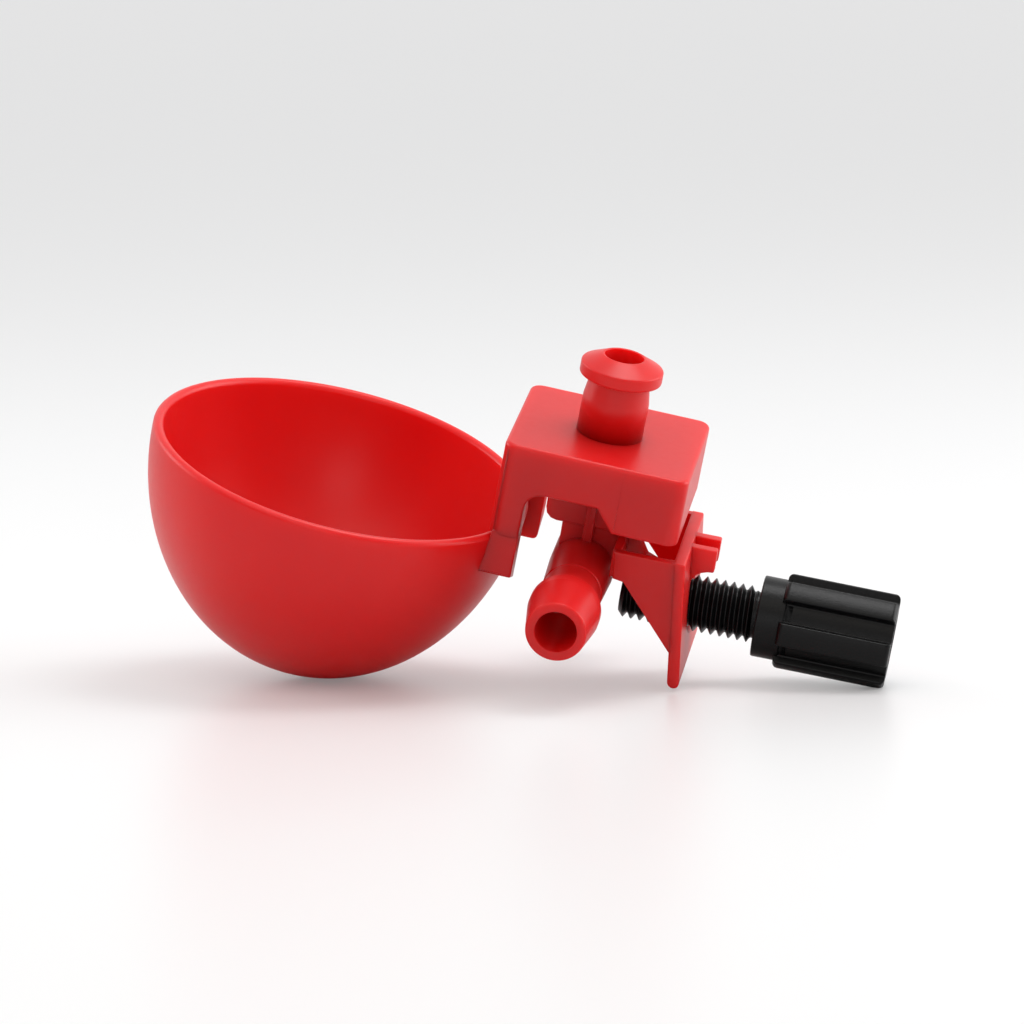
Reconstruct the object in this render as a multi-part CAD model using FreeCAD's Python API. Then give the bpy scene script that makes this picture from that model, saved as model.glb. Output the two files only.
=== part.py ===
import FreeCAD, Part
import math
import os

# Rocking drinking cup on a barbed hose fitting, held to a cage by a thumb screw.
# All sizes are in millimetres. The origin is the point where the axis of the
# thumb screw meets the outer face of the clamp plate. X runs out along the
# screw towards its grip, Y runs along the hose tube, and Z is up.
# The cup is drawn level first and then rocked up to the position of an empty
# cup, which is the position of rest of this file.

Vec = FreeCAD.Vector

# Cup: cap over the valve
cap_centre_x = -18.4
cap_top_z = 26.23
cap_length = 30.6
cap_width = 30.5
cap_wall = 2.0
cap_corner = 2.2
cap_edge = 0.7
cap_right_depth = 11.5
arch_depth = 7.7
arch_right = 1.55
slope_end = 4.5
arch_corner = 3.0
leg_width_front = 5.05
leg_width_rear = 6.05
leg_depth = 16.1
lug_depth = 22.9
lug_inner_depth = 25.6
lug_thickness = 5.1
rock_angle = 1.47
rock_pivot_x = -3.4
rock_pivot_z = 15.2

# Cup: post on the cap
post_radius = 5.5
post_neck_radius = 4.9
post_straight = 6.0
post_neck = 9.8
head_radius = 6.83
head_band = 11.94
head_height = 13.58
post_hole_radius = 3.25
post_hole_depth = 9.6

# Cup: bowl
bowl_centre_x = -61.1
bowl_rim_z = 11.57
bowl_tilt = 3.57
bowl_radius = 31.9
bowl_depth = 37.9
bowl_base_radius = 6.5
bowl_wall = 1.8
bowl_base_step = 0.3

# Hinge between the cup and the fitting
hinge_x = -8.4
hinge_z = 18.2
hinge_bar_radius = 2.0
hinge_play = 0.05
hinge_bar_half = 9.2
hook_inner = 6.0
hook_outer = 8.6
hook_wall = 1.5
hook_mouth = 3.3
close_angle = 4.5

# Fitting: hose tube along Y
tube_x = -18.62
tube_z = 3.56
tube_radius = 5.4
tube_bore = 3.42
tube_half = 32.8
barb_radius = 5.93
barb_start = 20.6
barb_rise = 22.3
barb_end = 24.3
barb_tip_radius = 4.95
barb_tip_edge = 0.3
tube_neck_radius = 4.88
tube_neck_start = 15.2
tube_taper_end_radius = 5.0

# Fitting: valve body above the tube
body_left = -26.0
body_right = -12.6
body_half = 4.6
body_bottom = 11.3
body_corner = 2.0
body_top = 19.2
stem_left = -23.0
stem_right = -13.3
front_rib_left = -19.3
front_rib_right = -17.6
front_rib_out = 5.3
tray_left = -31.2
tray_half = 7.0
tray_floor = 1.0
tray_lip = 1.2
nozzle_radius = 2.4
nozzle_bore = 1.1
nozzle_top = 21.3

# Fitting: arm that carries the hinge bar
arm_right = -5.17
arm_half = 5.4
arm_bottom = 11.4
arm_top = 15.4
neck_left = -10.0
neck_right = -6.8

# Fitting: clamp plate, gussets and hook prongs
plate_lean = 0.1125
plate_thickness = 2.0
plate_half = 12.5
plate_top = 11.07
plate_bottom = -10.6
gusset_thickness = 1.6
gusset_left = -13.05
gusset_low = 6.35
gusset_slope_x = -10.8
gusset_slope_z = 6.05
gusset_foot = -4.6
cross_left = -13.35
cross_right = -12.0
web_thickness = 2.4
boss_radius = 6.2
boss_left = -4.9
prong_offset = 2.64
prong_thickness = 1.8
prong_reach = 3.03
prong_end_z = 7.2
prong_root_z = 4.9

# Thumb screw
screw_crest_radius = 4.69
screw_hole_play = 0.04
screw_hole_chamfer = 0.5
screw_tip_x = -11.6
screw_tip_chamfer = 0.9
collar_x = 11.27
collar_radius = 6.77
grip_start = 15.1
grip_end = 33.9
grip_radius = 7.93
grip_floor_radius = 6.45
grip_ribs = 6
grip_rib_angle = 31.0
grip_turn = 3.4
grip_edge = 0.8
grip_recess_radius = 4.6
grip_recess_depth = 0.8

# Valve seal and spring
seal_radius = 3.6
seal_stem_radius = 1.9
seal_stem_play = 0.04
seal_stem_length = 3.0
seal_gap = 0.05
spring_wire = 0.3
spring_radius = 4.38
spring_turns = 3.5


def block(x0, x1, y0, y1, z0, z1):
    return Part.makeBox(x1 - x0, y1 - y0, z1 - z0, Vec(x0, y0, z0))


def prism_y(points, y0, y1):
    ring = [Vec(p[0], y0, p[1]) for p in points]
    ring.append(ring[0])
    return Part.Face(Part.makePolygon(ring)).extrude(Vec(0, y1 - y0, 0))


def prism_x(points, x0, x1):
    ring = [Vec(x0, p[0], p[1]) for p in points]
    ring.append(ring[0])
    return Part.Face(Part.makePolygon(ring)).extrude(Vec(x1 - x0, 0, 0))


def rod_z(x, y, z0, z1, radius):
    return Part.makeCylinder(radius, z1 - z0, Vec(x, y, z0), Vec(0, 0, 1))


def rod_y(x, z, y0, y1, radius):
    return Part.makeCylinder(radius, y1 - y0, Vec(x, y0, z), Vec(0, 1, 0))


def rod_x(z, x0, x1, radius):
    return Part.makeCylinder(radius, x1 - x0, Vec(x0, 0, z), Vec(1, 0, 0))


def turned(points, base, axis):
    ring = [Vec(*p) for p in points]
    ring.append(ring[0])
    return Part.Face(Part.makePolygon(ring)).revolve(Vec(*base), Vec(*axis), 360)


def fused(shapes):
    whole = shapes[0].fuse(shapes[1:])
    return whole.removeSplitter()


# Cap: a box open below, with an arch in both side walls and two legs
def cap_shape():
    left = cap_centre_x - cap_length / 2
    right = cap_centre_x + cap_length / 2
    half = cap_width / 2
    top = cap_top_z
    leg_end = top - leg_depth
    box = block(left, right, -half, half, leg_end, top)
    upright = [e for e in box.Edges if abs(e.Vertexes[0].Z - e.Vertexes[1].Z) > 1]
    box = box.makeFillet(cap_corner, upright)
    upper = [e for e in box.Edges if min(v.Z for v in e.Vertexes) > top - 0.01]
    box = box.makeFillet(cap_edge, upper)
    inner_left = left + cap_wall
    inner_right = right - cap_wall
    inner = half - cap_wall
    hollow = block(inner_left, inner_right, -inner, inner, leg_end - 1, top - cap_wall)
    box = box.cut(hollow)
    arch_z = top - arch_depth
    low_z = top - cap_right_depth
    leg_inner = half - lug_thickness
    openings = []
    for side, leg_width in ((-1, leg_width_front), (1, leg_width_rear)):
        leg_in = left + leg_width
        y0 = min(side * leg_inner, side * (inner + 0.5))
        y1 = max(side * leg_inner, side * (inner + 0.5))
        column = block(left + cap_wall / 2, leg_in + arch_corner, y0, y1, leg_end, top - cap_wall / 2)
        box = box.fuse(column)
        bend = [(leg_in + arch_corner * (1 - math.cos(math.radians(22.5 * s))),
                 arch_z - arch_corner * (1 - math.sin(math.radians(22.5 * s)))) for s in range(5)]
        arch = [(leg_in, leg_end - 1)] + bend
        arch += [(cap_centre_x + arch_right, arch_z),
                 (cap_centre_x + slope_end, low_z),
                 (right + 1, low_z),
                 (right + 1, leg_end - 1)]
        openings.append(prism_y(arch, min(0, side * (half + 1)), max(0, side * (half + 1))))
    openings.append(block(left - 1, left + leg_width_rear + 1, -leg_inner, leg_inner, leg_end - 1, arch_z))
    return box.cut(openings)


# Lugs: thicker feet of the two legs that run down beside the bowl
def lug_shapes():
    left = cap_centre_x - cap_length / 2
    half = cap_width / 2
    upper = cap_top_z - leg_depth
    lower = cap_top_z - lug_depth
    inner_low = cap_top_z - lug_inner_depth
    inner = half - lug_thickness
    lugs = []
    outer = half - 0.1
    for side, leg_width in ((-1, leg_width_front), (1, leg_width_rear)):
        outline = [(side * inner, upper), (side * outer, upper),
                   (side * outer, lower), (side * inner, inner_low)]
        solid = prism_x(outline, left - 0.8, left + leg_width)
        lugs.append(solid)
    return lugs


# Bowl: half of an ellipse turned about its own leaning axis, with a flat base
def bowl_profile(radius, depth, base_radius, rim_drop):
    last = math.acos(base_radius / radius)
    first = math.asin(rim_drop / depth)
    points = []
    for step in range(0, 13):
        turn = first + (last - first) * step / 12
        points.append((radius * math.cos(turn), -depth * math.sin(turn)))
    return points


def bowl_shape():
    rim = bowl_wall / 2
    outside = bowl_profile(bowl_radius, bowl_depth, bowl_base_radius, rim)
    inner_radius = bowl_radius - bowl_wall
    inside = bowl_profile(inner_radius, bowl_depth - bowl_wall, bowl_base_radius - bowl_base_step, rim)
    curve_out = Part.BSplineCurve()
    curve_out.interpolate([Vec(p[0], 0, p[1]) for p in outside])
    curve_in = Part.BSplineCurve()
    curve_in.interpolate([Vec(p[0], 0, p[1]) for p in inside])
    mid_radius = bowl_radius - rim
    lip = Part.Arc(Vec(outside[0][0], 0, -rim), Vec(mid_radius, 0, 0), Vec(inside[0][0], 0, -rim))
    edges = [curve_out.toShape(), lip.toShape(), curve_in.toShape()]
    edges.append(Part.makeLine(Vec(inside[-1][0], 0, inside[-1][1]), Vec(0, 0, inside[-1][1])))
    edges.append(Part.makeLine(Vec(0, 0, inside[-1][1]), Vec(0, 0, outside[-1][1])))
    edges.append(Part.makeLine(Vec(0, 0, outside[-1][1]), Vec(outside[-1][0], 0, outside[-1][1])))
    wire = Part.Wire(Part.__sortEdges__(edges))
    shell = Part.Face(wire).revolve(Vec(0, 0, 0), Vec(0, 0, 1), 360)
    edges = [curve_in.toShape()]
    edges.append(Part.makeLine(Vec(inside[-1][0], 0, inside[-1][1]), Vec(0, 0, inside[-1][1])))
    edges.append(Part.makeLine(Vec(0, 0, inside[-1][1]), Vec(0, 0, bowl_wall)))
    edges.append(Part.makeLine(Vec(0, 0, bowl_wall), Vec(inside[0][0], 0, bowl_wall)))
    edges.append(Part.makeLine(Vec(inside[0][0], 0, bowl_wall), Vec(inside[0][0], 0, -rim)))
    wire = Part.Wire(Part.__sortEdges__(edges))
    room = Part.Face(wire).revolve(Vec(0, 0, 0), Vec(0, 0, 1), 360)
    for solid in (shell, room):
        solid.rotate(Vec(0, 0, 0), Vec(0, 1, 0), bowl_tilt)
        solid.translate(Vec(bowl_centre_x, 0, bowl_rim_z))
    return shell, room


# Post: a hollow stub with a bevelled head
def post_shape():
    x = cap_centre_x
    z = cap_top_z
    outline = [(x, 0, z - 0.5),
               (x + post_radius, 0, z - 0.5),
               (x + post_radius, 0, z + post_straight),
               (x + post_neck_radius, 0, z + post_neck),
               (x + head_radius, 0, z + post_neck),
               (x + head_radius, 0, z + head_band),
               (x + post_hole_radius, 0, z + head_height),
               (x, 0, z + head_height)]
    solid = turned(outline, (x, 0, 0), (0, 0, 1))
    hole = rod_z(x, 0, z + head_height - post_hole_depth, z + head_height + 1, post_hole_radius)
    return solid.cut(hole)


# Hinge hooks: two snap hooks that hang from the roof of the cap
def hook_shapes():
    top = cap_top_z - cap_wall + 0.7
    outer = hinge_bar_radius + hook_wall
    hooks = []
    for side in (1, -1):
        y0 = min(side * hook_inner, side * hook_outer)
        y1 = max(side * hook_inner, side * hook_outer)
        ring = rod_y(hinge_x, hinge_z, y0, y1, outer)
        web = block(hinge_x - outer, hinge_x + outer - 0.4, y0, y1, hinge_z, top)
        eye = rod_y(hinge_x, hinge_z, y0 - 1, y1 + 1, hinge_bar_radius + hinge_play)
        mouth = block(hinge_x - hook_mouth / 2, hinge_x + hook_mouth / 2, y0 - 1, y1 + 1,
                      hinge_z - outer - 1, hinge_z)
        hooks.append(ring.fuse(web).cut([eye, mouth]))
    return hooks


def rocked(solid):
    solid.rotate(Vec(rock_pivot_x, 0, rock_pivot_z), Vec(0, 1, 0), rock_angle)
    return solid


def drinking_cup():
    shell, room = bowl_shape()
    cup = fused([cap_shape()] + lug_shapes())
    cup = cup.cut(room)
    cup = fused([cup, shell, post_shape()])
    stem_hole = rod_z(cap_centre_x, 0, cap_top_z - cap_wall - 1,
                      cap_top_z - cap_wall + seal_stem_length + 0.2,
                      seal_stem_radius + seal_stem_play)
    cup = rocked(cup.cut(stem_hole))
    return fused([cup] + hook_shapes())


# Valve seal: a rubber disc whose stem sits in the roof of the cap
def valve_seal():
    roof = cap_top_z - cap_wall
    disc = rod_z(cap_centre_x, 0, nozzle_top - 3, roof, seal_radius)
    stem = rod_z(cap_centre_x, 0, roof - 0.5, roof + seal_stem_length, seal_stem_radius)
    seal = rocked(fused([disc, stem]))
    below = block(cap_centre_x - 9, cap_centre_x + 9, -9, 9, nozzle_top - 12, nozzle_top + seal_gap)
    below.rotate(Vec(hinge_x, 0, hinge_z), Vec(0, 1, 0), close_angle)
    return seal.cut(below)


# Return spring: a short coil round the nozzle, from the tray to the cap roof
def return_spring():
    low = body_top + tray_floor + spring_wire + 0.02
    high = cap_top_z - cap_wall - spring_wire - 0.05
    pitch = (high - low) / spring_turns
    path = Part.makeHelix(pitch, high - low, spring_radius)
    profile = Part.Wire(Part.makeCircle(spring_wire, Vec(spring_radius, 0, 0), Vec(0, 1, 0)))
    coil = Part.Wire(path.Edges).makePipeShell([profile], True, True)
    coil.translate(Vec(cap_centre_x, 0, low))
    return coil


def plate_x(z):
    return -plate_lean * z


# Clamp plate with its gussets, cross wall, web, boss and prongs
def plate_shapes():
    across = plate_thickness * math.sqrt(1 + plate_lean ** 2)
    foot = plate_thickness / 2
    outline = [(plate_x(plate_top) - across, plate_top), (plate_x(plate_top), plate_top)]
    centre_x = plate_x(plate_bottom + foot) - across / 2
    for step in range(0, 7):
        turn = math.radians(-30 * step)
        outline.append((centre_x + foot * math.cos(turn), plate_bottom + foot + foot * math.sin(turn)))
    plate = prism_y(outline, -plate_half, plate_half)
    parts = [plate]
    for side in (1, -1):
        y0 = min(side * plate_half, side * (plate_half - gusset_thickness))
        edge = [(gusset_left, plate_top),
                (gusset_left + 0.4, gusset_low),
                (gusset_slope_x, gusset_slope_z),
                (plate_x(gusset_foot) - across, gusset_foot),
                (plate_x(gusset_foot) - across / 2, gusset_foot),
                (plate_x(plate_top) - across / 2, plate_top)]
        parts.append(prism_y(edge, y0, y0 + gusset_thickness))
        middle = side * prong_offset
        prong = [(plate_x(plate_top) - 0.6, plate_top),
                 (prong_reach, plate_top),
                 (prong_reach, prong_end_z),
                 (prong_reach - 1.3, prong_end_z - 0.25),
                 (prong_reach - 2.4, prong_end_z - 0.85),
                 (plate_x(prong_root_z) + 0.25, prong_root_z + 0.6),
                 (plate_x(prong_root_z), prong_root_z),
                 (plate_x(prong_root_z) - 0.6, prong_root_z)]
        parts.append(prism_y(prong, middle - prong_thickness / 2, middle + prong_thickness / 2))
    wall_half = plate_half - gusset_thickness / 2
    parts.append(block(cross_left, cross_right, -wall_half, wall_half, gusset_low, plate_top))
    web = [(body_right - 1, arm_bottom + 1),
           (body_right - 1, gusset_low),
           (gusset_slope_x, gusset_low),
           (boss_left - 1.6, 5.2),
           (boss_left + 0.8, 5.2),
           (boss_left - 3.6, 6.9),
           (boss_left - 6.9, arm_bottom + 1)]
    parts.append(prism_y(web, -web_thickness / 2, web_thickness / 2))
    parts.append(rod_x(0, boss_left, -plate_thickness / 2, boss_radius))
    return parts


# Hose tube with a barb at both ends
def tube_shapes():
    x = tube_x
    outline = [(x, tube_half * -1, tube_z),
               (x, -tube_half, tube_z + barb_tip_radius - barb_tip_edge),
               (x, -tube_half + barb_tip_edge, tube_z + barb_tip_radius),
               (x, -barb_end, tube_z + barb_radius),
               (x, -barb_rise, tube_z + barb_radius),
               (x, -barb_start, tube_z + tube_neck_radius),
               (x, -tube_neck_start, tube_z + tube_neck_radius),
               (x, -tube_neck_start + 0.2, tube_z + tube_taper_end_radius),
               (x, -body_half, tube_z + tube_radius)]
    mirrored = [(x, -p[1], p[2]) for p in reversed(outline)]
    return turned(outline + mirrored, (x, 0, tube_z), (0, 1, 0))


# Valve body: stem, block, tray and nozzle
def body_shapes():
    x = cap_centre_x
    parts = [block(stem_left, stem_right, -body_half + 0.6, body_half - 0.6, tube_z, body_bottom + 0.5)]
    outline = [(body_right, body_bottom),
               (body_right, body_top + 0.2),
               (body_left, body_top + 0.2)]
    for step in range(0, 7):
        turn = math.radians(15 * step)
        outline.append((body_left + body_corner * (1 - math.cos(turn)),
                        body_bottom + body_corner * (1 - math.sin(turn))))
    parts.append(prism_y(outline, -body_half, body_half))
    for side in (1, -1):
        y0 = min(side * front_rib_out, side * (body_half - 1))
        y1 = max(side * front_rib_out, side * (body_half - 1))
        parts.append(block(front_rib_left, front_rib_right, y0, y1, tube_z + 1.5, body_top))
    tray = block(tray_left, body_right, -tray_half, tray_half, body_top, body_top + tray_floor + tray_lip)
    basin = block(tray_left - 1, body_right - 1, -tray_half + 1, tray_half - 1,
                  body_top + tray_floor, body_top + tray_floor + tray_lip + 1)
    parts.append(tray.cut(basin))
    parts.append(rod_z(x, 0, body_top, nozzle_top, nozzle_radius))
    return parts


# Arm to the right of the valve body with the hinge bar on its neck
def arm_shapes():
    arm = block(body_right - 1, arm_right, -arm_half, arm_half, arm_bottom, arm_top)
    neck = block(neck_left, neck_right, -arm_half, arm_half, arm_top - 0.5, hinge_z)
    bar = rod_y(hinge_x, hinge_z, -hinge_bar_half, hinge_bar_half, hinge_bar_radius)
    return [arm, neck, bar]


def tee_fitting():
    solid = fused([tube_shapes()] + body_shapes() + arm_shapes() + plate_shapes())
    bore = rod_y(tube_x, tube_z, -tube_half - 1, tube_half + 1, tube_bore)
    water = rod_z(cap_centre_x, 0, tube_z, nozzle_top + 1, nozzle_bore)
    hole_radius = screw_crest_radius + screw_hole_play
    thread = rod_x(0, boss_left - 1, 4, hole_radius)
    mouth = Part.makeCone(hole_radius, hole_radius + screw_hole_chamfer, screw_hole_chamfer)
    reach = plate_thickness
    flare = rod_z(0, 0, screw_hole_chamfer, reach, hole_radius + screw_hole_chamfer)
    mouth = mouth.fuse(flare)
    mouth.rotate(Vec(0, 0, 0), Vec(0, 1, 0), 90 - math.degrees(math.atan(plate_lean)))
    mouth.translate(Vec(-screw_hole_chamfer, 0, 0))
    return solid.cut([bore, water, thread, mouth]).removeSplitter()


# Thumb screw: plain rod at the size of the thread crests, collar and ribbed grip
def thumb_screw():
    c = screw_tip_chamfer
    outline = [(screw_tip_x, 0, 0),
               (screw_tip_x, 0, screw_crest_radius - c),
               (screw_tip_x + c, 0, screw_crest_radius),
               (collar_x, 0, screw_crest_radius),
               (collar_x, 0, collar_radius - 0.2),
               (collar_x + 0.2, 0, collar_radius),
               (grip_start, 0, collar_radius),
               (grip_start + 0.4, 0, grip_floor_radius),
               (grip_end - grip_edge, 0, grip_floor_radius),
               (grip_end, 0, grip_floor_radius - grip_edge),
               (grip_end, 0, 0)]
    body = turned(outline, (0, 0, 0), (1, 0, 0))
    rim = [(grip_start, 0, grip_floor_radius - 1),
           (grip_start, 0, grip_radius - grip_edge),
           (grip_start + grip_edge, 0, grip_radius),
           (grip_end - grip_edge, 0, grip_radius),
           (grip_end, 0, grip_radius - grip_edge),
           (grip_end, 0, grip_floor_radius - 1)]
    half = math.radians(grip_rib_angle / 2)
    reach = grip_radius * 1.3
    ribs = []
    for number in range(grip_ribs):
        ring = turned(rim, (0, 0, 0), (1, 0, 0))
        wedge = [(0, 0), (-reach * math.cos(half), -reach * math.sin(half)),
                 (-reach * math.cos(half), reach * math.sin(half))]
        sector = prism_x(wedge, grip_start - 1, grip_end + 1)
        rib = ring.common(sector)
        rib.rotate(Vec(0, 0, 0), Vec(1, 0, 0), -grip_turn - 360.0 * number / grip_ribs)
        ribs.append(rib)
    recess = rod_x(0, grip_end - grip_recess_depth, grip_end + 1, grip_recess_radius)
    return fused([body] + ribs).cut(recess)


os.makedirs("parts", exist_ok=True)
drinking_cup().exportStep("parts/drinking_cup.step")
tee_fitting().exportStep("parts/tee_fitting.step")
thumb_screw().exportStep("parts/thumb_screw.step")
valve_seal().exportStep("parts/valve_seal.step")
return_spring().exportStep("parts/return_spring.step")
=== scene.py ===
"""Looks of a rocking drinking cup on a barbed hose fitting with a thumb screw.

All shapes are worked out in millimetres in the frame of the model and turned
into metres when the mesh is made. X runs out along the thumb screw, Y along
the hose tube, Z is up. The front is the side towards -Y.
"""

import math

import bpy
import numpy as np
from mathutils import Matrix


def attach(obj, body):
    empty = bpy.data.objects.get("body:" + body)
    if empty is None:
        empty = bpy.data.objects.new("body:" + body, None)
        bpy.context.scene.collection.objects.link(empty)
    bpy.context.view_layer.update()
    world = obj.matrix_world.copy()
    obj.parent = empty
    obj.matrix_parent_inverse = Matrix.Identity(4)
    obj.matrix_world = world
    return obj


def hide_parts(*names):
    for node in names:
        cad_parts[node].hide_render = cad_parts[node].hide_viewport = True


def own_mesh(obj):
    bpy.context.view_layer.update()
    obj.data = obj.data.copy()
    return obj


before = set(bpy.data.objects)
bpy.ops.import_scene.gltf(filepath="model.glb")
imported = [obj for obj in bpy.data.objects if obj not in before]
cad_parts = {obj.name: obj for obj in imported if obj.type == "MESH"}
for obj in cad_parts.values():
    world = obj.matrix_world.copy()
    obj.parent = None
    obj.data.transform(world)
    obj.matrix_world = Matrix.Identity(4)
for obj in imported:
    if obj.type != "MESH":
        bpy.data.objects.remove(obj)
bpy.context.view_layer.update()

MM = 0.001
TAU = 2 * math.pi
QUARTER = math.pi / 2
SIDES = ((-1, "front"), (1, "rear"))

# Points round turned pieces
AROUND = 128
AROUND_BOWL = 192
AROUND_SMALL = 48
AROUND_THREAD = 96

# The cup stands leaning by ROCK_ANGLE degrees about a line along Y
ROCK_ANGLE = 1.47
ROCK_PIVOT = (-3.4, 0.0, 15.2)

# Cap and legs, before the lean
CAP_X = -18.4
CAP_HALF_X = 15.3
CAP_HALF_Y = 15.25
CAP_TOP = 26.23
CAP_WALL = 2.0
ARCH_TOP = CAP_TOP - 7.7
ARCH_RADIUS = 3.0
LEG_INNER = 10.15
LEG_OUTER = 15.2
LEG_WIDTH = {-1: 5.05, 1: 6.05}
LEG_KNEE = CAP_TOP - 16.1
LEG_FOOT = CAP_TOP - 22.9

# Hose fitting
TUBE_X = -18.62
TUBE_Z = 3.56
HINGE_X = -8.4
HINGE_Z = 18.2
PLATE_LEAN = 0.1125
PLATE_TOP = 11.07
TRAY_LEFT = -31.2
TRAY_RIGHT = -12.6
TRAY_LOW = 19.2
TRAY_TOP = 20.2
LIP_TOP = 21.4

# Screw thread
THREAD_PITCH = 1.5
THREAD_CREST = 4.69
THREAD_ROOT = 3.82
THREAD_START = 0.51
THREAD_FLAT = 0.10
THREAD_FLANK = 0.80
THREAD_ROUND = 0.85
COLLAR_FACE = 11.27


# Shader expressions


class Sock:
    """A node socket that takes part in sums and products."""

    def __init__(self, tree, socket):
        self.tree = tree
        self.socket = socket

    def node(self, kind, outlet=0, settings=None, **links):
        """A new node: settings first, then each socket by name, or by number as i0, i1."""
        made = self.tree.nodes.new(kind)
        for key, value in (settings or {}).items():
            setattr(made, key, value)
        for key, value in links.items():
            numbered = key[0] == "i" and key[1:].isdigit()
            target = made.inputs[int(key[1:]) if numbered else key]
            if isinstance(value, Sock):
                self.tree.links.new(value.socket, target)
            else:
                target.default_value = value
        return Sock(self.tree, made.outputs[outlet])

    def math(self, operation, a, b=0.0):
        return self.node("ShaderNodeMath", settings={"operation": operation}, i0=a, i1=b)

    def __add__(self, other):
        return self.math("ADD", self, other)

    def __radd__(self, other):
        return self.math("ADD", other, self)

    def __sub__(self, other):
        return self.math("SUBTRACT", self, other)

    def __rsub__(self, other):
        return self.math("SUBTRACT", other, self)

    def __mul__(self, other):
        return self.math("MULTIPLY", self, other)

    def __rmul__(self, other):
        return self.math("MULTIPLY", other, self)

    def clamped(self):
        return self.node("ShaderNodeClamp", Value=self)

    def blend(self, low, high):
        """Colour low where this value is 0 and colour high where it is 1."""
        return self.node("ShaderNodeMix", outlet=2, settings={"data_type": "RGBA"},
                         i0=self, i6=(*low, 1), i7=(*high, 1))


def principled(name):
    """A new material with its tree and shader."""
    material = bpy.data.materials.new(name)
    material.use_nodes = True
    tree = material.node_tree
    return material, tree, next(n for n in tree.nodes if n.type == "BSDF_PRINCIPLED")


def source(tree, kind, outlet):
    """One output of a new node that needs no input."""
    return Sock(tree, tree.nodes.new(kind).outputs[outlet])


def feed(tree, shader, **values):
    """Links or sets the shader's inputs by their names."""
    for key, value in values.items():
        target = shader.inputs[key.replace("_", " ")]
        if isinstance(value, Sock):
            tree.links.new(value.socket, target)
        else:
            target.default_value = value


def speckle(place, scale, detail=2.0, roughness=0.5):
    """Noise over the piece, about 0.3 to 0.7, with scale in waves a metre."""
    return place.node("ShaderNodeTexNoise", Vector=place, Scale=scale, Detail=detail, Roughness=roughness)


def bumped(place, height, strength, depth):
    """A normal from a height value, depth in metres."""
    return place.node("ShaderNodeBump", Height=height, Strength=strength, Distance=depth)


def red_plastic():
    """Semi-gloss red that lets some light in, faintly uneven in colour and gloss."""
    material, tree, shader = principled("moulded red plastic")
    place = source(tree, "ShaderNodeTexCoord", "Object")
    broad = speckle(place, 45.0)
    fine = speckle(place, 900.0, 3.0, 0.6)
    grain = speckle(place, 2600.0, 2.0, 0.6)
    gloss = (broad - 0.5) * 0.10 + (fine - 0.5) * 0.10 + 0.34
    height = broad * 0.6 + grain * 0.4
    feed(tree, shader, Base_Color=broad.blend((0.61, 0.006, 0.009), (0.69, 0.013, 0.011)),
         Roughness=gloss.clamped(), IOR=1.42, Normal=bumped(place, height, 0.25, 0.00006),
         Subsurface_Weight=0.80, Subsurface_Scale=0.0060, Subsurface_Radius=(1.0, 0.12, 0.08))
    return material


def black_plastic():
    """Satin black with a fine grain."""
    material, tree, shader = principled("moulded black plastic")
    place = source(tree, "ShaderNodeTexCoord", "Object")
    broad = speckle(place, 120.0)
    fine = speckle(place, 3200.0, 3.0, 0.65)
    shade = (broad * 0.5 + fine * 0.5).clamped()
    gloss = (fine - 0.5) * 0.25 + 0.32
    feed(tree, shader, Base_Color=shade.blend((0.0012, 0.0012, 0.0013), (0.0035, 0.0035, 0.004)),
         Roughness=gloss.clamped(), IOR=1.30, Normal=bumped(place, fine, 0.5, 0.00006))
    return material


def seal_rubber():
    """Matt dark rubber."""
    material, tree, shader = principled("soft seal rubber")
    place = source(tree, "ShaderNodeTexCoord", "Object")
    fine = speckle(place, 2500.0, 2.0, 0.6)
    gloss = (fine - 0.5) * 0.2 + 0.75
    feed(tree, shader, Base_Color=fine.blend((0.02, 0.02, 0.02), (0.06, 0.06, 0.06)),
         Roughness=gloss.clamped(), Normal=bumped(place, fine, 0.4, 0.00004))
    return material


def spring_steel():
    """Drawn wire."""
    material, tree, shader = principled("drawn spring wire")
    place = source(tree, "ShaderNodeTexCoord", "Object")
    fine = speckle(place, 1500.0, 3.0, 0.6)
    gloss = (fine - 0.5) * 0.2 + 0.3
    feed(tree, shader, Base_Color=fine.blend((0.45, 0.45, 0.46), (0.68, 0.68, 0.70)), Metallic=1.0,
         Roughness=gloss.clamped(), Normal=bumped(place, fine, 0.3, 0.00002))
    return material


# Shapes on grids


def grid_faces(rows, columns):
    """Quads between neighbouring rows of a grid that closes round its columns."""
    r, c = np.meshgrid(np.arange(rows - 1), np.arange(columns), indexing="ij")
    r = r.ravel()
    c = c.ravel()
    n = (c + 1) % columns
    return np.stack([r * columns + c, r * columns + n, (r + 1) * columns + n, (r + 1) * columns + c], axis=1)


def loop_faces(rows, columns):
    """Quads of a grid that closes on itself both ways."""
    return grid_faces(rows + 1, columns) % (rows * columns)


def end_faces(rows, columns, flip=False):
    """The first and last rows of a grid as two polygons that close it."""
    first = np.arange(columns)
    last = first + (rows - 1) * columns
    return [first, last[::-1]] if flip else [first[::-1], last]


def add_mesh(name, points, polygons, material):
    """A new object at the origin from points in millimetres."""
    mesh = bpy.data.meshes.new(name)
    mesh.from_pydata((np.asarray(points, float) * MM).tolist(), [], polygons)
    mesh.materials.append(material)
    thing = bpy.data.objects.new(name, mesh)
    bpy.context.scene.collection.objects.link(thing)
    return thing


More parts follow.
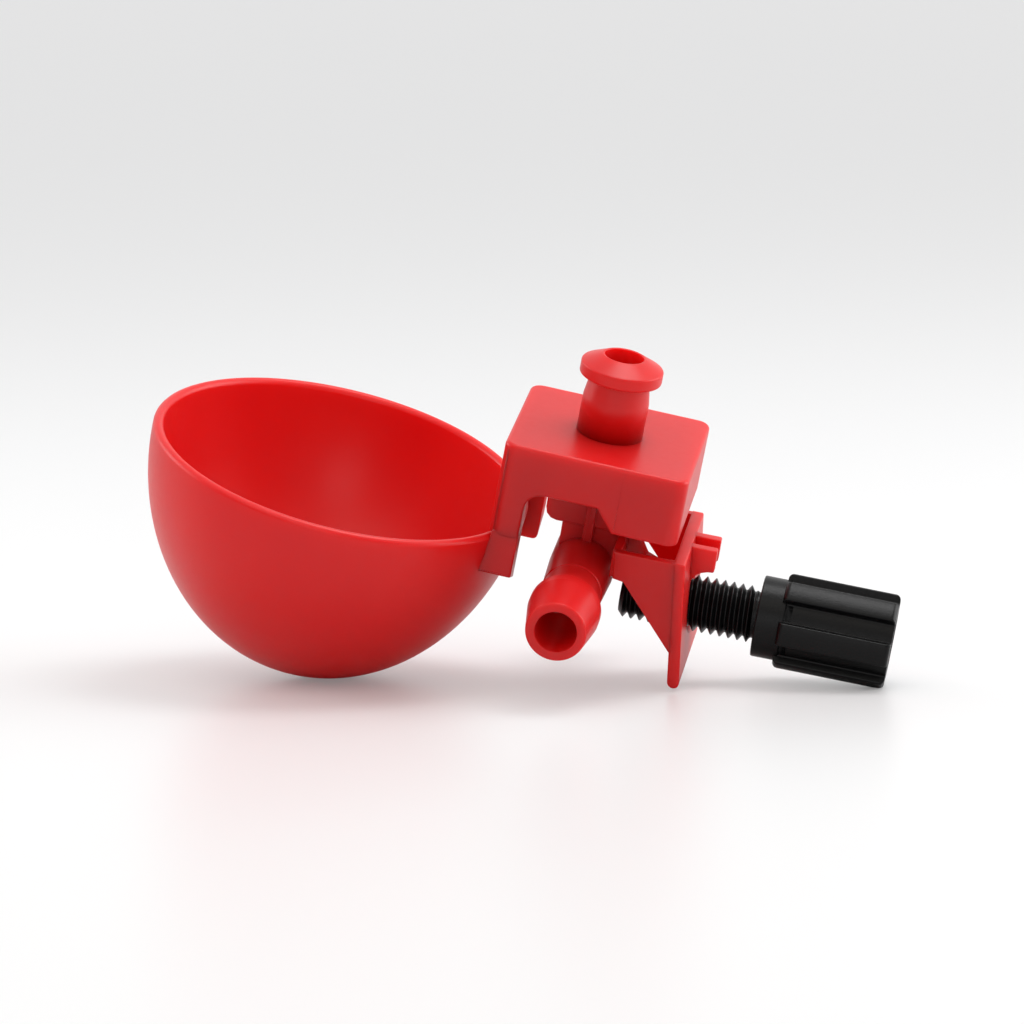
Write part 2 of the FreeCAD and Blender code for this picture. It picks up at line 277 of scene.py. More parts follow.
def piece(name, points, faces, body, material, flat_ends=()):
    """A piece of a body from points in millimetres, quads and end polygons."""
    polygons = [tuple(int(i) for i in face) for face in (*faces, *flat_ends)]
    thing = add_mesh(name, points, polygons, material)
    thing.data.validate()
    thing.data.polygons.foreach_set("use_smooth", np.ones(len(thing.data.polygons), bool))
    keep = thing.modifiers.new("flat faces stay flat", "WEIGHTED_NORMAL")
    keep.weight = 50
    keep.keep_sharp = True
    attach(thing, body)
    return thing


def rocked(points, degrees=ROCK_ANGLE, pivot=ROCK_PIVOT):
    """Points turned about a line along Y: the cup's lean while it is empty."""
    turn = np.array(Matrix.Rotation(math.radians(degrees), 3, "Y"))
    return (np.asarray(points, float) - pivot) @ turn.T + pivot


def softened(outline, radius, steps=4, closed=True):
    """An outline with each corner swapped for an arc of that radius.

    The arc starts at radius over the tangent of half the corner's angle from
    the corner, at most 0.45 of the shorter side, and has steps + 1 points.
    """
    points = np.asarray(outline, float)
    count = len(points)
    radii = np.broadcast_to(np.asarray(radius, float), (count,))
    out = []
    for i in range(count):
        here = points[i]
        if not closed and i in (0, count - 1) or radii[i] <= 0:
            out.append(here[None])
            continue
        before = points[i - 1] - here
        after = points[(i + 1) % count] - here
        reach_b = np.linalg.norm(before)
        reach_a = np.linalg.norm(after)
        before = before / reach_b
        after = after / reach_a
        half = math.acos(np.clip(before @ after, -1, 1)) / 2
        if half > QUARTER - 0.02:
            out.append(here[None])
            continue
        cut = min(radii[i] / math.tan(half), 0.45 * reach_b, 0.45 * reach_a)
        size = cut * math.tan(half)
        bisector = (before + after) / np.linalg.norm(before + after)
        middle = here + bisector * math.hypot(cut, size)
        start = here + before * cut - middle
        end = here + after * cut - middle
        sweep = math.pi - 2 * half
        share = np.linspace(0, 1, steps + 1)[:, None]
        arc = (np.sin((1 - share) * sweep) * start + np.sin(share * sweep) * end) / math.sin(sweep)
        out.append(middle + arc)
    return np.concatenate(out)


def box_outline(left, low, right, high):
    return [(left, low), (right, low), (right, high), (left, high)]


def mitres(forward, least):
    """Inward mitre at each point of a counter-clockwise outline, from its unit sides."""
    backward = np.roll(forward, 1, axis=0)
    normal_f = np.stack([-forward[:, 1], forward[:, 0]], axis=1)
    normal_b = np.stack([-backward[:, 1], backward[:, 0]], axis=1)
    mitre = normal_f + normal_b
    return mitre / np.maximum((mitre * normal_f).sum(axis=1), least)[:, None]


def inset(outline, depth):
    """A counter-clockwise outline moved inwards: each point along its mitre."""
    forward = np.roll(outline, -1, axis=0) - outline
    forward /= np.linalg.norm(forward, axis=1)[:, None]
    return outline + mitres(forward, 0.3) * depth


def wound(outline):
    """The outline in counter-clockwise order."""
    outline = np.asarray(outline, float)
    x, y = outline.T
    area = (x * np.roll(y, -1) - np.roll(x, -1) * y).sum()
    return outline if area > 0 else outline[::-1]


def slab_points(outline, low, high, edge, axis, corner=0.25):
    """A flat plate with softened edges.

    The rounded outline is carried along the axis from low to high, and near
    each end it is inset by edge * (1 - cos a) while it advances by
    edge * (1 - sin a), a quarter circle. Returns points, faces and ends.
    """
    ring = softened(wound(outline), corner, 3)
    turns = np.linspace(0, QUARTER, 4)
    levels = [(edge * (1 - math.sin(a)), low + edge * (1 - math.cos(a))) for a in turns]
    levels += [(edge * (1 - math.cos(a)), high - edge * (1 - math.sin(a))) for a in turns]
    rows = [np.column_stack([inset(ring, depth), np.full(len(ring), place)]) for depth, place in levels]
    points = np.concatenate(rows)[:, {"z": (0, 1, 2), "y": (0, 2, 1)}[axis]]
    faces = grid_faces(len(levels), len(ring))
    if axis == "y":
        faces = faces[:, ::-1]
    return points, faces, end_faces(len(levels), len(ring), axis == "y")


def turned_points(profile, origin, axis, around):
    """A profile of (radius, distance along the axis) turned once round."""
    profile = np.asarray(profile, float)
    angle = np.arange(around) * TAU / around
    along = np.repeat(profile[:, 1:], around, axis=1)
    u = profile[:, :1] * np.cos(angle)
    v = profile[:, :1] * np.sin(angle)
    stack = {"z": (u, v, along), "x": (along, u, v), "y": (v, along, u)}[axis]
    return np.stack(stack, axis=-1).reshape(-1, 3) + np.asarray(origin, float)


def turned(name, profile, origin, axis, body, material, closed=False, around=AROUND, place=None):
    """A turned piece. A profile that is not a closed ring ends in flat faces."""
    rows = len(profile)
    points = turned_points(profile, origin, axis, around)
    if place is not None:
        points = place(points)
    if closed:
        return piece(name, points, loop_faces(rows, around), body, material)
    return piece(name, points, grid_faces(rows, around), body, material, end_faces(rows, around))


RED = red_plastic()
BLACK = black_plastic()
RUBBER = seal_rubber()
WIRE = spring_steel()


def red(name, body, shape, place=None):
    """A red piece from the points, faces and ends of a shape."""
    points, faces, ends = shape
    if place is not None:
        points = place(points)
    return piece(name, points, faces, body, RED, ends)


def red_slab(name, body, outline, low, high, edge, axis, corner):
    return red(name, body, slab_points(outline, low, high, edge, axis, corner))


def mirrored(side, inner, outer):
    """The span from inner to outer on one side of the middle, in rising order."""
    return sorted((side * inner, side * outer))


# Drinking cup


def bowl():
    """The bowl: half an ellipse turned round, with a rounded rim.

    The inside is the wall smaller than the outside in radius and depth, the
    rim is a half circle between them, and the base is cut flat.
    """
    radius, depth, height, wall = 31.9, 37.9, 37.1, 1.8
    lean, centre = 3.57, (-61.1, 0.0, 11.57)
    half = wall / 2
    share = np.sin(np.linspace(0, QUARTER, 40))
    outer_z = -(half + (height - half) * share)
    inner_z = -(half + (height - wall - half) * share)
    outer = np.column_stack([radius * np.sqrt(1 - (outer_z / depth) ** 2), outer_z])
    inner = np.column_stack([(radius - wall) * np.sqrt(1 - (inner_z / (depth - wall)) ** 2), inner_z])
    turn = np.linspace(math.pi, 0, 9)[1:-1]
    rim = np.column_stack([radius - half + half * np.cos(turn), half * np.sin(turn) - half])
    profile = np.concatenate([inner[::-1], rim, outer])[::-1]

    def placed(points):
        return rocked(rocked(points, lean, (0.0, 0.0, 0.0)) + centre)

    return turned("bowl", profile, (0, 0, 0), "z", "cup", RED,
                  around=AROUND_BOWL, place=placed)


def cap():
    """The cap: a wall carried round a rounded rectangle, with a roof.

    Each column of the grid stands at one distance s round the outside. Its
    rows run from the roof over the top edge, down the outside to the lower
    outline z(s), round the lower edge and up the inside to the ceiling.
    """
    corner, edge_soft, top_soft, margin = 2.2, 0.35, 0.7, 0.6
    skirt = CAP_TOP - 11.5
    slope_start, slope_end, slope_soft = 1.55, 4.5, 0.5
    draft = 0.03
    centre_x, centre_y = CAP_HALF_X - corner, CAP_HALF_Y - corner
    side_x, side_y, bend = 2 * centre_x, 2 * centre_y, corner * QUARTER
    middle = side_x + bend + side_y / 2
    length = 2 * (side_x + side_y) + 4 * bend
    starts = np.cumsum([0.0, side_x, bend, side_y, bend, side_x, bend, side_y])
    bend_s = np.linspace(0, bend, 9)

    def side_edge(leg_width):
        """Lower outline (s, z) from one leg's inner edge to the middle of the right wall."""
        leg = leg_width - corner
        turn = np.linspace(0, QUARTER, 7)
        arc = np.column_stack([leg + ARCH_RADIUS * (1 - np.cos(turn)),
                               ARCH_TOP - ARCH_RADIUS * (1 - np.sin(turn))])
        slope = [(leg + 5, ARCH_TOP), (centre_x + slope_start, ARCH_TOP),
                 (centre_x + slope_end, skirt), (centre_x + slope_end + 3, skirt)]
        rest = [(side_x + s, skirt) for s in bend_s] + [(middle, skirt)]
        return np.concatenate([[(leg - draft, LEG_KNEE)], arc, softened(slope, slope_soft, 3, False), rest])

    front = side_edge(LEG_WIDTH[-1])
    rear = side_edge(LEG_WIDTH[1])[-2::-1] * (-1, 1) + (2 * middle, 0)
    rear_turn = [(2 * middle + s, LEG_KNEE) for s in bend_s]
    begin = 2 * middle + bend + centre_y - LEG_INNER
    stop = length - bend - (centre_y - LEG_INNER)
    gap = [(begin - draft, LEG_KNEE), (begin, ARCH_TOP), ((begin + stop) / 2, ARCH_TOP), (stop, ARCH_TOP),
           (stop + draft, LEG_KNEE)]
    front_turn = [(length - bend + s, LEG_KNEE) for s in bend_s]
    outline = np.concatenate([front, rear, rear_turn, gap, front_turn])
    # The outline closes round the cap, so its last side runs on by the whole length
    forward = np.roll(outline, -1, axis=0) - outline
    forward[-1, 0] += length
    forward /= np.linalg.norm(forward, axis=1)[:, None]
    mitre = mitres(forward, 0.4)
    centres = np.array([(1, -1), (1, 1), (-1, 1), (-1, -1)]) * (centre_x, centre_y)

    def place(s, z, depth):
        """Outside point at distance s, moved inwards by depth, at height z."""
        s = np.mod(s, length)
        part = np.searchsorted(starts, s, side="right") - 1
        along = s - starts[part]
        wall_number = part // 2
        heading = wall_number * QUARTER
        straight = part % 2 == 0
        normal = heading - QUARTER + np.where(straight, 0, along / corner)
        before = centres[(wall_number - 1) % 4]
        after = centres[wall_number]
        base_x = np.where(straight, before[:, 0] + along * np.cos(heading), after[:, 0])
        base_y = np.where(straight, before[:, 1] + along * np.sin(heading), after[:, 1])
        x = base_x + (corner - depth) * np.cos(normal) + CAP_X
        y = base_y + (corner - depth) * np.sin(normal)
        return np.stack([x, y, np.broadcast_to(z, x.shape)], axis=-1)

    s, z = outline.T
    column = s + mitre[:, 0] * margin
    turns = np.linspace(0, QUARTER, 5)

    def drawn_in(step, depth):
        return place(s + mitre[:, 0] * step, z + mitre[:, 1] * step, depth)

    rows = [place(column, CAP_TOP - top_soft * (1 - math.cos(a)), top_soft * (1 - math.sin(a)))
            for a in turns]
    rows.append(place(column, CAP_TOP - 1.5, 0.0))
    rows.append(place(column, z + mitre[:, 1] * margin, 0.0))
    rows += [drawn_in(edge_soft * (1 - math.sin(a)), edge_soft * (1 - math.cos(a))) for a in turns]
    rows += [drawn_in(edge_soft * (1 - math.cos(a)), CAP_WALL - edge_soft * (1 - math.sin(a))) for a in turns]
    rows.append(place(column, z + mitre[:, 1] * margin, CAP_WALL))
    rows.append(place(column, CAP_TOP - CAP_WALL - 1.0, CAP_WALL))
    rows.append(place(column, CAP_TOP - CAP_WALL, CAP_WALL))
    faces = grid_faces(len(rows), len(s))[:, ::-1]
    return red("cap", "cup", (np.concatenate(rows), faces, end_faces(len(rows), len(s), True)), rocked)


def leg(side, word):
    """A thick leg: an upper part inside the cap's wall and a foot beside the bowl.

    Each is a side view carried across Y. The foot's lower end slopes and its
    left side follows the bowl: both move in proportion to the distance from
    the outer face.
    """
    edge, overlap, left, foot_left = 0.3, 0.5, -33.0, -34.3
    foot_slope, bowl_side = {-1: 1.8, 1: 2.7}[side], 1.2
    foot_corner = {-1: 0.3, 1: 0.8}[side]
    right = CAP_X - CAP_HALF_X + LEG_WIDTH[side] + 0.02
    turn = np.linspace(0, QUARTER, 7)
    arc = [(right + ARCH_RADIUS * (1 - math.cos(t)), ARCH_TOP - ARCH_RADIUS * (1 - math.sin(t)))
           for t in turn]
    outline = [(left, LEG_KNEE - overlap), (right, LEG_KNEE - overlap), *arc,
               (right + ARCH_RADIUS, CAP_TOP - 1.0), (left, CAP_TOP - 1.0)]
    low, high = mirrored(side, LEG_INNER, LEG_OUTER - 0.3)
    upper = red("leg_" + word, "cup", slab_points(outline, low, high, edge, "y", 0.0), rocked)
    outline = [(foot_left, LEG_FOOT), (right, LEG_FOOT), (right, LEG_KNEE + 0.8), (left, LEG_KNEE + 0.8)]
    low, high = mirrored(side, LEG_INNER, LEG_OUTER)
    points, faces, ends = slab_points(outline, low, high, edge, "y", [0.2, foot_corner, 0.0, 0.0])
    share = (LEG_OUTER - np.abs(points[:, 1])) / (LEG_OUTER - LEG_INNER)
    under = points[:, 2] < LEG_FOOT + 1.5
    points[under, 2] -= foot_slope * share[under]
    beside = points[:, 0] < left + 0.5
    points[beside, 0] += bowl_side * share[beside]
    return upper, red("foot_" + word, "cup", (points, faces, ends), rocked)


def post():
    """The hollow post: a stub that narrows below a bevelled head.

    Its profile (radius, height over the cap) starts and ends on the axis.
    """
    outline = np.array([
        (0.0, 4.0), (3.1, 4.0), (3.25, 13.5), (3.55, 13.58), (6.83, 11.94),
        (6.83, 9.8), (4.9, 9.8), (5.5, 6.0), (5.5, -0.5), (0.0, -0.5)])
    radii = [0, 0.4, 0.1, 0.2, 0.35, 0.4, 0.15, 6.0, 0, 0]
    profile = softened(outline + (0, CAP_TOP), radii, 4, False)[1:-1]
    return turned("post", profile[::-1], (CAP_X, 0, 0), "z", "cup", RED, place=rocked)


def hook(side, word):
    """A snap hook under the roof: a ring round the hinge bar, open below."""
    inner_radius, outer_radius, mouth = 2.05, 3.5, math.radians(55)
    top, right_reach = CAP_TOP - 1.2, 3.1
    turn = np.linspace(mouth - QUARTER, TAU - QUARTER - mouth, 28)

    def arc(radius, angles):
        return np.column_stack([HINGE_X + radius * np.cos(angles), HINGE_Z + radius * np.sin(angles)])

    outline = np.concatenate([
        arc(inner_radius, turn), arc(outer_radius, turn[turn > math.pi][::-1]),
        [(HINGE_X - outer_radius, top), (HINGE_X + right_reach, top)],
        arc(outer_radius, turn[turn < 0.0])[::-1]])
    low, high = mirrored(side, 6.0, 8.6)
    return red_slab("hinge_hook_" + word, "cup", outline, low, high, 0.15, "y", 0.0)


bowl_piece = bowl()
cap()
for side, word in SIDES:
    leg(side, word)
post()
for side, word in SIDES:
    hook(side, word)
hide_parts("drinking_cup")


# Hose fitting


def hose_tube():
    """The hose tube: a bored tube along Y that narrows to a barb near each end.

    The outline (radius, place along Y) of the front half is mirrored for the
    rear half and closed by the bore.
    """
    bore, half = 3.42, 32.8
    outer = np.array([(4.95, -half), (5.93, -24.3), (5.93, -22.3), (4.88, -20.6),
                      (4.88, -15.2), (5.0, -15.0), (5.4, -4.6)])
    radii = [0.3, 1.5, 0.4, 0.5, 0.1, 0.1, 2.0]
    outline = np.concatenate([outer, (outer * (1, -1))[::-1], [(bore, half), (bore, -half)]])
    profile = softened(outline, radii + radii[::-1] + [0.2, 0.2], 4)
    return turned("hose_tube", profile, (TUBE_X, 0, TUBE_Z), "y", "fitting", RED,
                  closed=True)


def plate_x(z):
    """Where the leaning outer face of the clamp plate is at height z."""
    return -PLATE_LEAN * z


def clamp_plate():
    """The leaning plate with its screw hole, one closed loop of rings.

    A column follows one direction from the screw axis. Its rows run through
    the hole, over its bevel and out on the outer face, then round the edge:
    there row D behind the face is a rectangle whose sides are drawn in by a
    small quarter circle and whose foot is drawn in by a half circle.
    """
    half, foot, edge, thick, sole_radius = 12.5, 10.6, 0.25, 2.0, 1.0
    hole, bevel, boss = 4.73, 0.5, 6.6
    beside_corner = 0.012
    corners = [math.atan2(z, y) for y in (half, -half) for z in (PLATE_TOP, -foot)]
    angle = np.sort(np.concatenate([
        np.linspace(-math.pi, math.pi, AROUND_THREAD + 1)[:-1] + 0.01,
        [c + d for c in corners for d in (-beside_corner, 0, beside_corner)]]))
    cosine, sine = np.cos(angle), np.sin(angle)
    rise = np.where(sine > 0, PLATE_TOP, foot)
    reach = 1 / np.maximum(np.abs(cosine) / half, np.abs(sine) / rise)
    share_y, share_z = reach * cosine / half, reach * sine / rise

    def row(y, z, depth):
        return np.stack([plate_x(z) - depth, y, z], axis=-1)

    def ring(radius, depth):
        return row(radius * cosine, radius * sine, depth)

    def rectangle(depth):
        near = min(depth, thick - depth)
        drawn = edge - math.sqrt(max(edge ** 2 - max(edge - near, 0) ** 2, 0))
        sole = sole_radius - math.sqrt(max(sole_radius ** 2 - (sole_radius - near) ** 2, 0))
        z = share_z * np.where(share_z > 0, PLATE_TOP - drawn, foot - sole)
        return row(share_y * (half - drawn), z, depth)

    depths = [0.0, 0.02, 0.08, 0.16, 0.25, 0.45, 0.7, 1.0]
    depths += [thick - d for d in depths[-2::-1]]
    loops = [ring(hole, thick), ring(hole, bevel), ring(hole + bevel - 0.04, 0.03),
             ring(hole + bevel + 0.02, 0.0), ring(boss, 0.0)]
    loops += [rectangle(d) for d in depths] + [ring(boss, thick)]
    faces = loop_faces(len(loops), len(angle))[:, ::-1]
    return red("clamp_plate", "fitting", (np.concatenate(loops), faces, ()))


def stem_outline():
    """The valve stem from the side: a block with a saddle over the tube."""
    left, right, top, saddle = -23.0, -13.3, 12.4, 4.9
    turn = np.radians(np.linspace(10.4, 153.3, 12))
    arc = [(TUBE_X + saddle * math.cos(t), TUBE_Z + saddle * math.sin(t)) for t in turn]
    return [(left, top), *arc[::-1], (right, 4.6), (right, top)]


def prong_outline():
    """A prong from the side, with a quarter of an ellipse from its end to its root."""
    end, end_z, root_z, reach = 3.03, 7.2, 4.9, 3.4
    top = PLATE_TOP - 0.02
    turn = np.linspace(0, QUARTER, 6)[1:-1]
    curve = [(end - reach * math.sin(t), root_z + (end_z - root_z) * math.cos(t)) for t in turn]
    return [(-1.8, top), (end, top), (end, end_z), *curve, (-0.55, root_z), (-1.2, root_z)]


def fitting_pieces():
    """The plates and blocks of the fitting: side or top views carried across."""
    clamp_plate()
    gusset = [(-13.05, 11.05), (-12.65, 6.35), (-10.8, 6.05), (-1.5, -4.6), (-0.6, -4.6), (-2.3, 11.05)]
    web = [(-13.6, 12.4), (-13.6, 6.35), (-10.8, 6.35), (-6.5, 5.2), (-4.1, 5.2), (-8.5, 6.9), (-11.8, 12.4)]
    lip = box_outline(TRAY_LEFT, TRAY_LOW + 0.2, TRAY_RIGHT, LIP_TOP)
    # Name, outline, inner and outer side, edge radius, corner radius
    pairs = [("gusset_", gusset, 10.9, 12.48, 0.2, 0.25),
             ("prong_", prong_outline(), 1.74, 3.54, 0.2, 0.3),
             ("tray_lip_", lip, 6.0, 7.0, 0.15, 0.3)]
    for name, outline, inner, outer, edge, corner in pairs:
        for side, word in SIDES:
            red_slab(name + word, "fitting", outline, *mirrored(side, inner, outer), edge, "y", corner)
    cross = box_outline(-13.35, -11.7, -12.0, 11.7)
    red_slab("cross_wall", "fitting", cross, 6.4, 11.0, 0.15, "z", 0.2)
    tray = box_outline(TRAY_LEFT, -7.0, TRAY_RIGHT, 7.0)
    red_slab("valve_tray", "fitting", tray, TRAY_LOW, TRAY_TOP, 0.2, "z", 0.6)
    # Name, outline, half of the width, edge radius, corner radius
    middles = [
        ("web", web, 1.2, 0.15, 0.2),
        ("valve_body", box_outline(-26.0, 11.3, TRAY_RIGHT, 19.4), 4.6, 0.3, [2.0, 0.3, 0.3, 0.3]),
        ("valve_stem", stem_outline(), 4.0, 0.3, [0.3] + [0.0] * 13 + [0.3]),
        ("stem_rib", box_outline(-19.3, 8.2, -17.6, 19.2), 5.3, 0.25, 0.2),
        ("tray_lip_end", box_outline(-13.6, TRAY_LOW + 0.2, TRAY_RIGHT, LIP_TOP), 6.5, 0.15, 0.2),
        ("hinge_arm", box_outline(-13.6, 11.4, -5.17, 15.4), 5.4, 0.2, 0.4),
        ("hinge_neck", box_outline(-10.0, 15.0, -6.8, HINGE_Z), 5.4, 0.2, 0.2)]
    for name, outline, half, edge, corner in middles:
        red_slab(name, "fitting", outline, -half, half, edge, "y", corner)


def nozzle():
    """The water nozzle in the tray, with the cap's middle as its axis."""
    bore, outer, low, high = 1.1, 2.4, 19.0, 21.3
    profile = softened([(bore, low), (outer, low), (outer, high), (bore, high)], [0, 0, 0.3, 0.2], 3)
    return turned("nozzle", profile, (CAP_X, 0, 0), "z", "fitting", RED,
                  closed=True, around=AROUND_SMALL)


def hinge_bar():
    """The round bar that the cup's hooks snap onto."""
    radius, half = 2.0, 9.2
    outline = [(0.0, -half), (radius, -half), (radius, half), (0.0, half)]
    profile = softened(outline, [0, 0.3, 0.3, 0], 3, False)[1:-1]
    return turned("hinge_bar", profile, (HINGE_X, 0, HINGE_Z), "y", "fitting", RED,
                  around=AROUND_SMALL)


def thread_radius(x, angle, crest, root):
    """Radius of a right-hand thread: a flat crest, straight flanks, a round root.

    The phase is (x - start) / pitch minus the angle's share of a turn, and its
    distance from the crest sets how far the radius falls towards the root.
    """
    phase = (x - THREAD_START) / THREAD_PITCH - (angle - QUARTER) / TAU
    away = np.abs(phase - np.round(phase)) * 2
    fall = np.clip((away - THREAD_FLAT) / THREAD_FLANK, 0, 1)
    deepest = (1 + THREAD_ROUND) / 2
    fall = np.where(fall > THREAD_ROUND, (fall + THREAD_ROUND) / 2, fall) / deepest
    return crest - (crest - root) * np.clip(fall, 0, 1)


def round_rows(x, radius, angle):
    """Points at radius and angle round the screw's axis, at x along it."""
    radius = np.broadcast_to(radius, np.broadcast(radius, angle).shape)
    across = np.broadcast_to(x, radius.shape)
    return np.stack([across, radius * np.cos(angle), radius * np.sin(angle)], axis=-1)


def threaded_boss():
    """The boss behind the plate with its inner thread, up to the hole's bevel."""
    rows, back, outer, gap, bevel, lead = 90, -4.9, 6.2, 0.03, 0.5, 0.5
    angle = np.arange(AROUND_THREAD) * TAU / AROUND_THREAD
    crest = THREAD_CREST + gap

    stop = plate_x(crest * np.sin(angle)) - bevel
    x = back + np.linspace(0, 1, rows)[:, None] * (stop - back)
    radius = thread_radius(x, angle[None], crest, THREAD_ROOT + 2 * gap)
    flare = np.clip((lead - np.minimum(x - back, stop - x)) / lead, 0, 1)
    radius = radius + (crest - radius) * flare
    loops = list(round_rows(x, radius, angle))
    ends = [(stop, crest + 0.02), (plate_x(outer * np.sin(angle)) - 0.9, outer), (back + 0.2, outer),
            (back + 0.02, outer - 0.2), (back, crest + 0.2)]
    loops += [round_rows(along, reach, angle) for along, reach in ends]
    faces = loop_faces(len(loops), AROUND_THREAD)[:, ::-1]
    return red("threaded_boss", "fitting", (np.concatenate(loops), faces, ()))


tube_piece = hose_tube()
fitting_pieces()
nozzle()
hinge_bar()
threaded_boss()
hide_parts("tee_fitting")


# Thumb screw


def screw_piece(name, points, rows, columns):
    """A black piece from the rows of a grid that runs along X, closed at both ends."""
    faces = grid_faces(rows, columns)
    return piece(name, points, faces, "screw", BLACK, end_faces(rows, columns))


def screw_rod():
    """The threaded rod: radius by the thread's formula, held under a chamfer."""
    tip, shoulder, rows = -11.6, 11.5, 460
    tip_radius, chamfer_rise = 3.75, 1.05
    neck_start, neck_length, neck_radius = 10.2, 0.6, THREAD_ROOT + 0.05
    angle = np.arange(AROUND_THREAD) * TAU / AROUND_THREAD
    x = np.linspace(tip, shoulder, rows)[:, None]
    radius = thread_radius(x, angle[None], THREAD_CREST, THREAD_ROOT)
    radius = np.minimum(radius, tip_radius + (x - tip) * chamfer_rise)
    radius = radius + (neck_radius - radius) * np.clip((x - neck_start) / neck_length, 0, 1)
    return screw_piece("screw_rod", round_rows(x, radius, angle).reshape(-1, 3), rows, AROUND_THREAD)


def screw_collar():
    """The plain collar, with a small step down to the grip. Profile (radius, x)."""
    radius, step_radius, step, end = 6.77, 6.45, 15.7, 17.0
    outline = [(0.0, COLLAR_FACE), (radius, COLLAR_FACE), (radius, step), (step_radius, step + 0.2),
               (step_radius, end), (0.0, end)]
    profile = softened(outline, [0, 0.25, 0.15, 0.1, 0, 0], 4, False)[1:-1]
    return turned("screw_collar", profile, (0, 0, 0), "x", "screw", BLACK)


def screw_grip():
    """The grip: an outline of wide ribs carried along the screw's axis.

    Radially the outline steps between the groove floor and the rib top with
    softened corners; near both ends it is held under a quarter circle.
    """
    ribs, groove, top, width = 6, 6.45, 7.93, math.radians(31)
    start, stop, edge, slant = 15.1, 33.9, 0.9, 0.012
    first_rib, pitch = math.pi + math.radians(-3.4), TAU / ribs
    half, quarter_gap = width / 2, (pitch - width) * 0.25
    # One rib and the groove after it, as (angle from the rib's middle, radius)
    steps = [(-half - slant, groove), (-half + slant, top), (-half / 2, top), (0, top), (half / 2, top),
             (half - slant, top), (half + slant, groove), (half + quarter_gap, groove),
             (pitch / 2, groove), (pitch - half - quarter_gap, groove)]
    base = [(r * math.cos(first_rib + k * pitch + a), r * math.sin(first_rib + k * pitch + a))
            for k in range(ribs) for a, r in steps]
    outline = softened(base, [0.3, 0.35, 0, 0, 0, 0.35, 0.3, 0, 0, 0] * ribs, 4)
    angle = np.arctan2(outline[:, 1], outline[:, 0])
    radius = np.hypot(outline[:, 0], outline[:, 1])
    turn = np.linspace(0, QUARTER, 6)
    rise = [(start + edge * (1 - math.cos(a)), top - edge * (1 - math.sin(a))) for a in turn]
    fall = [(stop - edge * (1 - math.sin(a)), top - edge * (1 - math.cos(a))) for a in turn]
    recess = [(stop, 5.2), (stop - 0.3, 4.7), (stop - 0.9, 4.5)]
    levels = [(start, groove - 0.2)] + rise + fall + recess
    rows = [round_rows(x, np.minimum(radius, limit), angle) for x, limit in levels]
    return screw_piece("screw_grip", np.concatenate(rows), len(levels), len(outline))


rod_piece = screw_rod()
screw_collar()
screw_grip()
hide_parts("thumb_screw")


# Seal and spring


def coil():
    """The return spring: a circle carried along a helix round the nozzle."""
    turns, wire, radius, low, high = 3.5, 0.3, 4.38, 20.52, 23.88
    rows, columns, pressed = 170, 12, 0.66
    t = np.linspace(0, turns * TAU, rows)[:, None]
    rise = low + (high - low) * t / (turns * TAU)
    centre = np.concatenate([radius * np.cos(t), radius * np.sin(t), rise], axis=1)
    out = np.concatenate([np.cos(t), np.sin(t), np.zeros_like(t)], axis=1)
    around = np.arange(columns) * TAU / columns
    points = centre[:, None] + wire * (np.cos(around)[None, :, None] * out[:, None]
                                       + np.sin(around)[None, :, None] * np.array([0, 0, 1.0]))
    points = points.reshape(-1, 3) + (CAP_X, 0, 0)
    faces = grid_faces(rows, columns)[:, ::-1]
    ends = end_faces(rows, columns, True)
    made = piece("spring_coil", points, faces, "fitting", WIRE, ends)
    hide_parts("return_spring")
    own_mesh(made)
    return made


coil()
seal_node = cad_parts["valve_seal"]
seal_node.data.materials.clear()
seal_node.data.materials.append(RUBBER)


# Floor, light and camera


def floor():
    """A wide flat sheet under the lying object, seen only from above."""
    size, offset = 4000.0, -13.5
    colour, gloss, glow_seen = (0.62, 0.62, 0.625, 1), 0.35, 0.19
    normal = np.array([-0.183, 0.220, 0.958])
    normal = normal / np.linalg.norm(normal)
    first = np.cross(normal, (0, 1, 0))
    first /= np.linalg.norm(first)
    second = np.cross(normal, first)
    corners = [normal * offset + size * (a * first + b * second)
               for a, b in ((-1, -1), (1, -1), (1, 1), (-1, 1))]
    material, tree, shader = principled("pale floor")
    thing = add_mesh("floor", corners, [(0, 1, 2, 3)], material)
    if np.array(thing.data.polygons[0].normal) @ normal < 0:
        thing.data.flip_normals()
    feed(tree, shader, Base_Color=colour, Roughness=gloss)
    plain = Sock(tree, shader.outputs[0])
    camera_ray = source(tree, "ShaderNodeLightPath", "Is Camera Ray")
    glow = plain.node("ShaderNodeEmission", Color=(1, 1, 1, 1), Strength=camera_ray * glow_seen)
    lit = plain.node("ShaderNodeAddShader", i0=plain, i1=glow)
    clear = plain.node("ShaderNodeBsdfTransparent")
    back = source(tree, "ShaderNodeNewGeometry", "Backfacing")
    both = plain.node("ShaderNodeMixShader", i0=back, i1=lit, i2=clear)
    output = next(n for n in tree.nodes if n.type == "OUTPUT_MATERIAL")
    tree.links.new(both.socket, output.inputs["Surface"])
    return thing


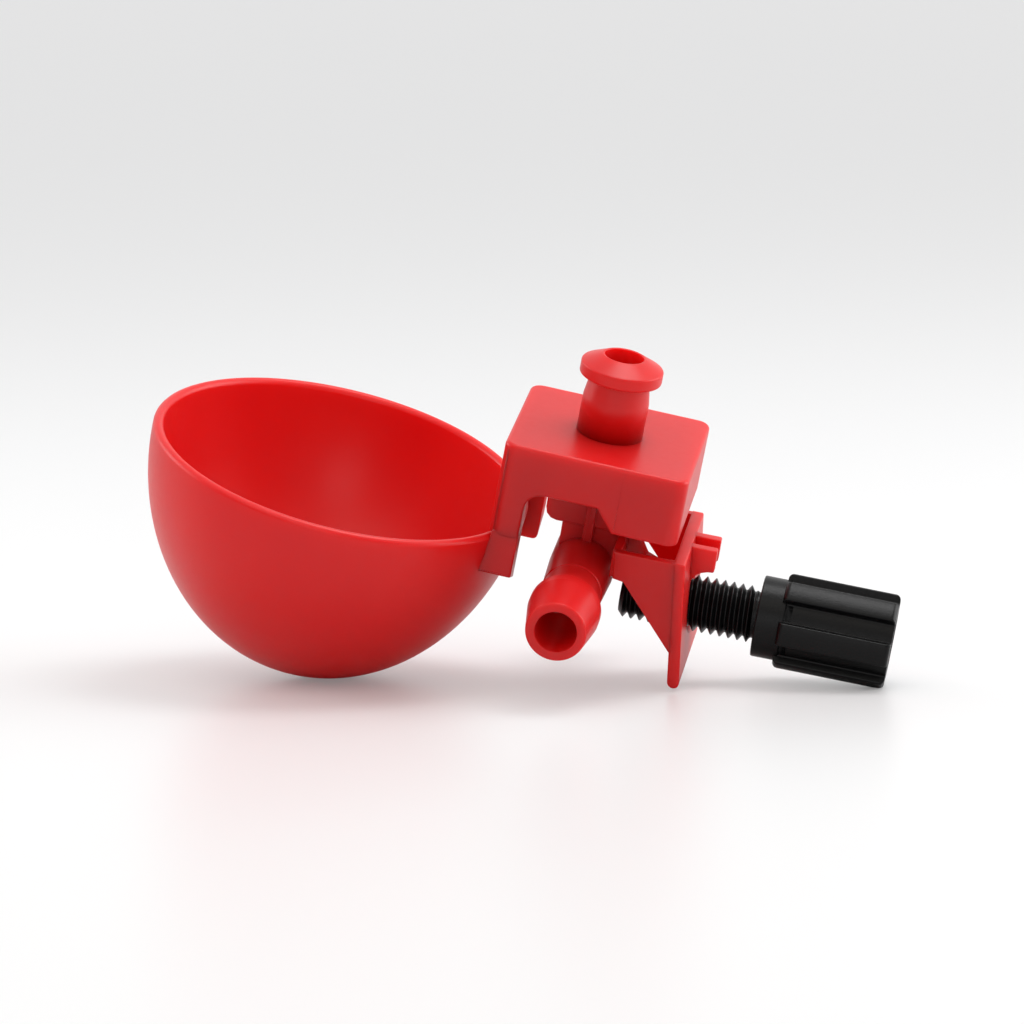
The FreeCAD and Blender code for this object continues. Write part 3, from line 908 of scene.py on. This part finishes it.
def lamp(name, place, size, power, colour=(1, 1, 1)):
    """A soft square lamp at place that faces the object, sizes in metres."""
    light = bpy.data.lights.new(name, "AREA")
    light.shape = "SQUARE"
    light.size = size
    light.energy = power
    light.color = colour
    thing = bpy.data.objects.new(name, light)
    bpy.context.scene.collection.objects.link(thing)
    away = np.array(place) - (-0.02, 0.0, 0.0)
    z = away / np.linalg.norm(away)
    x = np.cross((0, 0, 1), z)
    x /= np.linalg.norm(x)
    turn = Matrix(np.column_stack([x, np.cross(z, x), z]).tolist()).to_4x4()
    thing.matrix_world = Matrix.Translation(place) @ turn
    return thing


def studio():
    """A dome that is brighter above and behind, and soft lamps."""
    shade, reach, seen_level = 0.10, 0.77, 0.90
    world = bpy.data.worlds.new("studio")
    bpy.context.scene.world = world
    world.use_nodes = True
    tree = world.node_tree
    background = next(n for n in tree.nodes if n.type == "BACKGROUND")
    seen = source(tree, "ShaderNodeLightPath", "Is Camera Ray")
    heading = source(tree, "ShaderNodeTexCoord", "Generated")
    split = tree.nodes.new("ShaderNodeSeparateXYZ")
    tree.links.new(heading.socket, split.inputs[0])
    behind = Sock(tree, split.outputs["Y"])
    above = Sock(tree, split.outputs["Z"])
    dome = (behind * 0.55 + above * 0.45 + 0.5).clamped() * reach + shade
    strength = dome + seen * (seen_level - dome)
    background.inputs["Color"].default_value = (1, 1, 1, 1)
    tree.links.new(strength.socket, background.inputs["Strength"])
    lamp("key_above", (-0.22, -0.36, 0.66), 0.60, 0.9, (1.0, 0.93, 0.82))
    lamp("softbox_over", (0.03, 0.22, 0.66), 0.30, 1.45)
    lamp("fill_front", (-0.03, -0.58, 0.20), 0.25, 0.30)
    lamp("rim_right", (0.60, 0.25, 0.30), 0.60, 3.2)
    lamp("edge_left", (-0.55, 0.10, 0.10), 0.30, 0.7)


def camera():
    """The camera of the photograph, from its fitted place and directions."""
    place = (0.04963, -0.84010, 0.34248)
    right = (0.97644276, 0.15444006, 0.15069109)
    down = (0.19620704, -0.34488657, -0.91790852)
    forward = (-0.08979051, 0.92585178, -0.36706422)
    data = bpy.data.cameras.new("camera")
    data.sensor_width = 36.0
    data.lens = 192.74
    thing = bpy.data.objects.new("camera", data)
    bpy.context.scene.collection.objects.link(thing)
    turn = Matrix([[right[i], -down[i], -forward[i]] for i in range(3)]).to_4x4()
    thing.matrix_world = Matrix.Translation(place) @ turn
    bpy.context.scene.camera = thing
    return thing


floor()
studio()
camera()
bpy.context.scene.view_settings.view_transform = "Standard"
